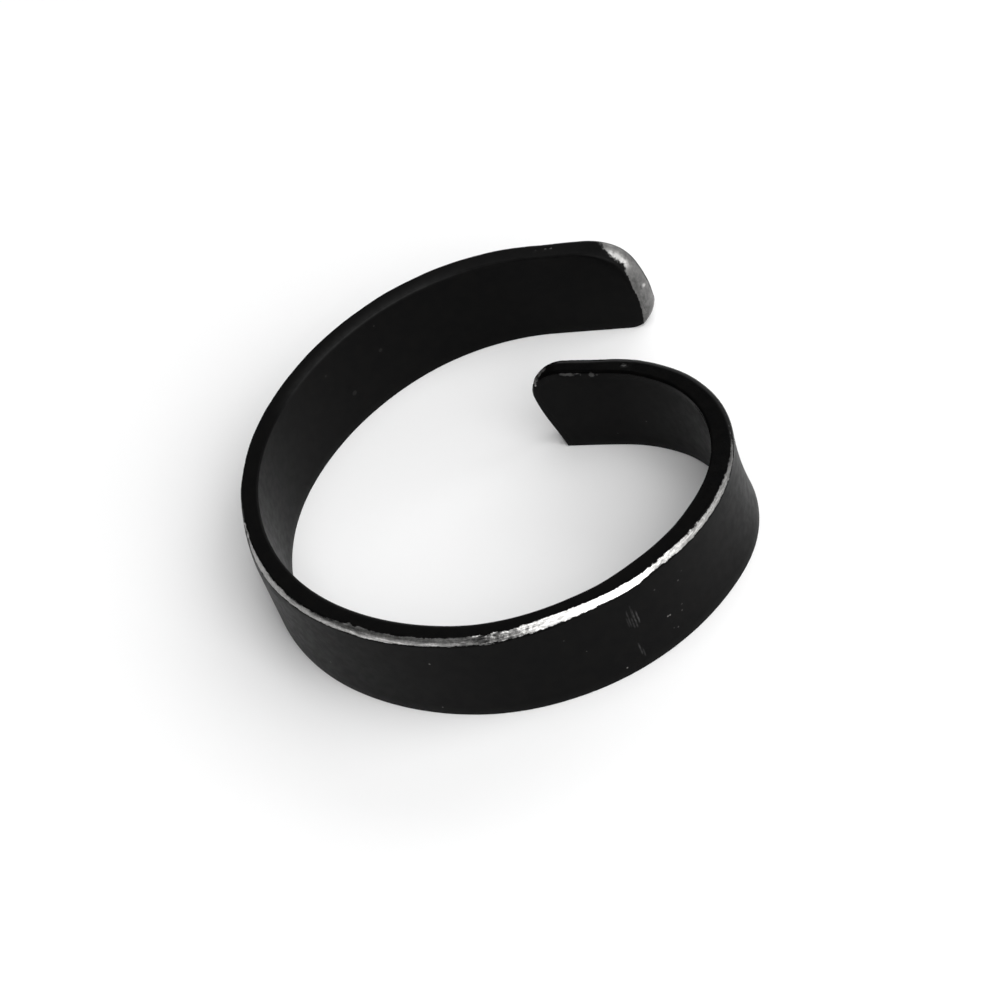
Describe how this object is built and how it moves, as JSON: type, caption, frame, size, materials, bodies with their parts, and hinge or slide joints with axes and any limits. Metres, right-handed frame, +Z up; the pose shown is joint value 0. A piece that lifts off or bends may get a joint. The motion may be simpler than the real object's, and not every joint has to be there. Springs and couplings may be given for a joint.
{
  "type": "open band ring",
  "caption": "Open band ring: a flat metal strip wound inwards, so that its inner end lies inside its outer one, black coated and worn to bright metal along its front edge.",
  "frame": {"origin": "middle of the ring's outline, on the surface that it lies on", "axes": "+Z up, across the width of the strip; +X the way that the outer end points; +Y towards the outer end's side of the ring"},
  "size_m": [0.018, 0.0182, 0.004],
  "materials": {
    "black_coat": "satin black coat over bright steel, worn through along the front edge and at both ends"
  },
  "bodies": {
    "root": {"band": "black_coat"}
  },
  "joints": []
}
